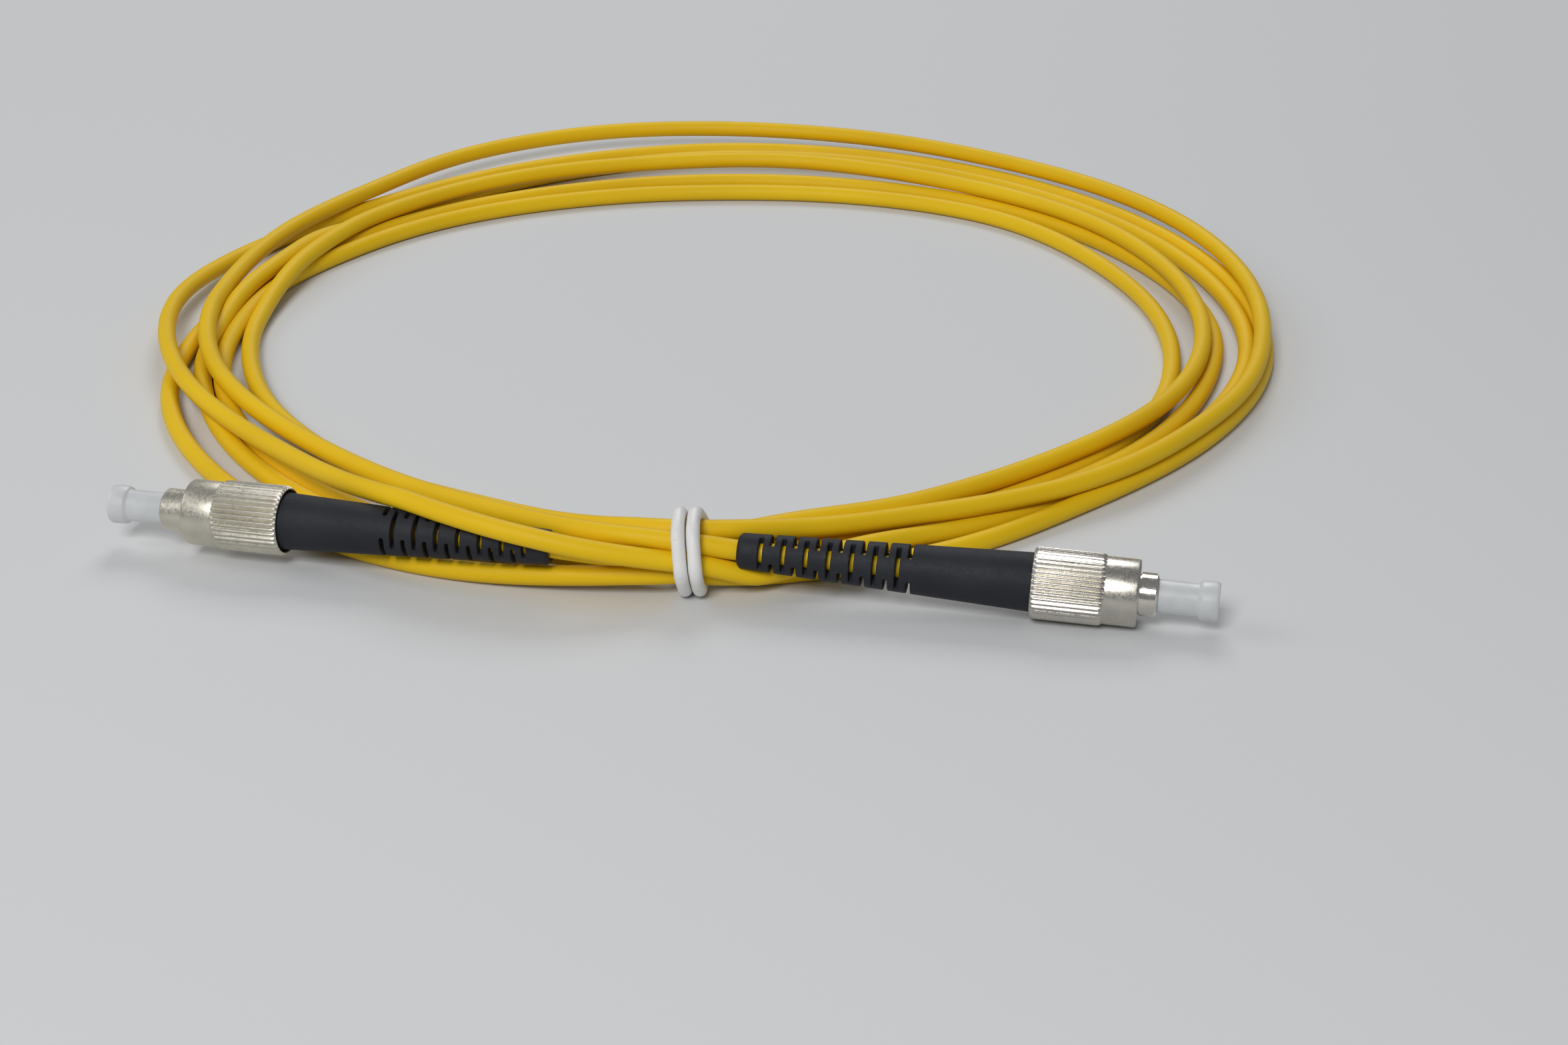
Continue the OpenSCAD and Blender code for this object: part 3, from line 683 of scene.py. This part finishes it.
def hull_loop(margin, step):
    """A loop of (y, z) round the bundle's outer strands, anticlockwise seen from +X, from the back."""
    pts = [SLOTS[i] for i in OUTER_SLOTS]
    loop = []
    n = len(pts)
    normals = []
    for i in range(n):
        a, b = np.array(pts[i]), np.array(pts[(i + 1) % n])
        d = (b - a) / np.linalg.norm(b - a)
        normals.append(math.degrees(math.atan2(-d[0], d[1])))
    for i in range(n):
        a0, a1 = normals[i - 1], normals[i]
        while a1 < a0:
            a1 += 360
        a1 = a1 if a1 - a0 < 180 else a1 - 360
        count = max(1, int(abs(a1 - a0) / step))
        for k in range(count + 1):
            a = math.radians(a0 + (a1 - a0) * k / count)
            loop.append((pts[i][0] + margin * math.cos(a), pts[i][1] + margin * math.sin(a)))
    return loop


OUTER_SLOTS = (4, 5, 6, 3, 2, 1)
BUNDLE_MID = SLOTS[0]
TIE_R = 1.0
TIE_MARGIN = CORD_R + TIE_R + 0.05
TIE_WRAPS = 2
TIE_CORE_R = 0.28
# X of the wire round the two wraps, by the angle from the back over the top.
TIE_ANGLES = [
    -26, 0, 30, 60, 90, 135, 180, 225, 250, 270, 300, 335, 360, 390, 420, 450, 495, 540, 585, 610,
    630, 660, 700,
]
TIE_XS = [
    8.4, 7.95, 7.35, 6.7, 6.1, 6.15, 6.45, 6.85, 7.1, 7.15, 6.75, 6.2, 5.6, 4.95, 4.3, 3.95, 4.0,
    4.35, 4.75, 5.0, 4.95, 4.4, 3.6,
]


def tie_route():
    """The covered wire's line: one twisted end, the two wraps, and the other twisted end."""
    loop = hull_loop(TIE_MARGIN, 10.0)
    route = []
    turn = float(TIE_ANGLES[0])
    for _ in range(TIE_WRAPS):
        for y, z in loop:
            a = math.degrees(math.atan2(z - BUNDLE_MID[1], y - BUNDLE_MID[0]))
            while a < turn - 1.0:
                a += 360.0
            turn = a
            route.append((float(np.interp(a, TIE_ANGLES, TIE_XS)), y, z))
    first = [(8.35, 3.95, 3.9), (8.05, 4.9, 2.75), (7.55, 6.0, 2.35)]
    last = [(3.75, 2.9, 3.6), (4.2, 4.0, 4.1), (4.75, 5.2, 3.4), (5.15, 6.2, 2.6)]
    start, stop = [], []
    for t in np.linspace(0.0, 1.0, 15):
        axis = np.array([6.35 + 0.25 * t, 6.8 + 6.6 * t, 2.3 - 0.22 * t])
        a = math.radians(400.0 * t)
        swing = np.array([math.cos(a), 0.0, math.sin(a)]) * (TIE_R + 0.02)
        start.append(axis + swing)
        stop.append(axis - swing)
    points = [tuple(p) for p in reversed(start)] + first[::-1] + route + last + [tuple(p) for p in stop]
    return np.array(points)


def tube(path, radius, sides, flat_ends=0.12, broken=0.05):
    """A round tube along a path in mm, closed by broken-edged ends that stand flat_ends past it."""
    along = np.gradient(path, axis=0)
    along /= np.linalg.norm(along, axis=1)[:, None]
    side = np.cross(along[0], [0.0, 0.0, 1.0])
    side /= np.linalg.norm(side)
    rings, verts, faces = [], [], []
    for i, p in enumerate(path):
        side = side - (side @ along[i]) * along[i]
        side /= np.linalg.norm(side)
        rings.append((p, side.copy(), np.cross(along[i], side)))
    shape = [(0, -flat_ends, radius - 5 * broken), (0, 0.0, radius - broken)]
    shape += [(i, 0.0, radius * (1 + 0.015 * math.sin(i * 0.37))) for i in range(1, len(path) - 1)]
    shape += [(len(path) - 1, 0.0, radius - broken), (len(path) - 1, flat_ends, radius - 5 * broken)]
    for i, shift, r in shape:
        p, u, w = rings[i]
        for k in range(sides):
            a = 2 * math.pi * k / sides
            verts.append(p + along[i] * shift + r * (math.cos(a) * u + math.sin(a) * w))
    rows = len(shape)
    for i in range(rows - 1):
        for k in range(sides):
            m = (k + 1) % sides
            faces.append((i * sides + k, i * sides + m, (i + 1) * sides + m, (i + 1) * sides + k))
    faces.append(tuple(range(sides - 1, -1, -1)))
    faces.append(tuple((rows - 1) * sides + k for k in range(sides)))
    return np.array(verts) * MM, faces


def make_tie():
    route = even_points(smooth_path(even_points(tie_route(), 0.35), 10), 0.3)
    route[:, 2] = np.maximum(route[:, 2], TIE_R + 0.01)
    verts, faces = tube(route, TIE_R, 20)
    add_piece("wrapped_wire_tie", verts, faces, TIE, "cord", ["tie_sleeve"])
    verts, faces = [], []
    for end, inner in ((route[0], route[4]), (route[-1], route[-5])):
        out = (end - inner) / np.linalg.norm(end - inner)
        line = np.array([end - out * 0.6 + out * t for t in np.linspace(0.0, 1.0, 5)])
        v, f = tube(line, TIE_CORE_R, 12, 0.05, 0.05)
        faces += [tuple(i + len(verts) for i in face) for face in f]
        verts += list(v)
    add_piece("tie_wire_ends", verts, faces, STEEL, "cord", ["tie_wire_core"])


make_tie()
for side in PLUGS:
    make_spring(side)

# ---------------------------------------------------------------- floor and light
FLOOR_HALF = 3.0
FLOOR_COLOR = (0.665, 0.675, 0.680, 1)
SKY_COLOR = (0.93, 0.95, 1.0, 1)
SKY_STRENGTH = 0.24
LIGHT_AIM = (0.0, 0.05, 0.0)
# Square soft boxes: name, place in m, side in m, power in W.
LAMPS = (
    ("back", (0.05, 0.80, 0.72), 0.45, 2.9),
    ("front", (-0.25, -0.80, 0.80), 0.40, 7.3),
    ("side", (-0.85, 0.10, 0.60), 0.50, 1.4),
)


def make_stage():
    mesh = bpy.data.meshes.new("floor")
    bm = bmesh.new()
    bmesh.ops.create_grid(bm, x_segments=2, y_segments=2, size=FLOOR_HALF)
    bm.to_mesh(mesh)
    bm.free()
    floor = bpy.data.objects.new("floor", mesh)
    bpy.context.scene.collection.objects.link(floor)
    mat = bpy.data.materials.new("floor")
    mat.use_nodes = True
    bsdf = mat.node_tree.nodes["Principled BSDF"]
    bsdf.inputs["Base Color"].default_value = FLOOR_COLOR
    bsdf.inputs["Roughness"].default_value = 0.85
    mesh.materials.append(mat)
    world = bpy.data.worlds.new("world")
    bpy.context.scene.world = world
    world.use_nodes = True
    sky = world.node_tree.nodes["Background"]
    sky.inputs[0].default_value = SKY_COLOR
    sky.inputs[1].default_value = SKY_STRENGTH
    bpy.context.scene.view_settings.view_transform = "Standard"
    for name, place, size, power in LAMPS:
        lamp = bpy.data.lights.new(name, "AREA")
        lamp.energy = power
        lamp.size = size
        o = bpy.data.objects.new(name, lamp)
        o.location = place
        o.rotation_euler = (Vector(LIGHT_AIM) - Vector(place)).to_track_quat("-Z", "Y").to_euler()
        bpy.context.scene.collection.objects.link(o)


make_stage()
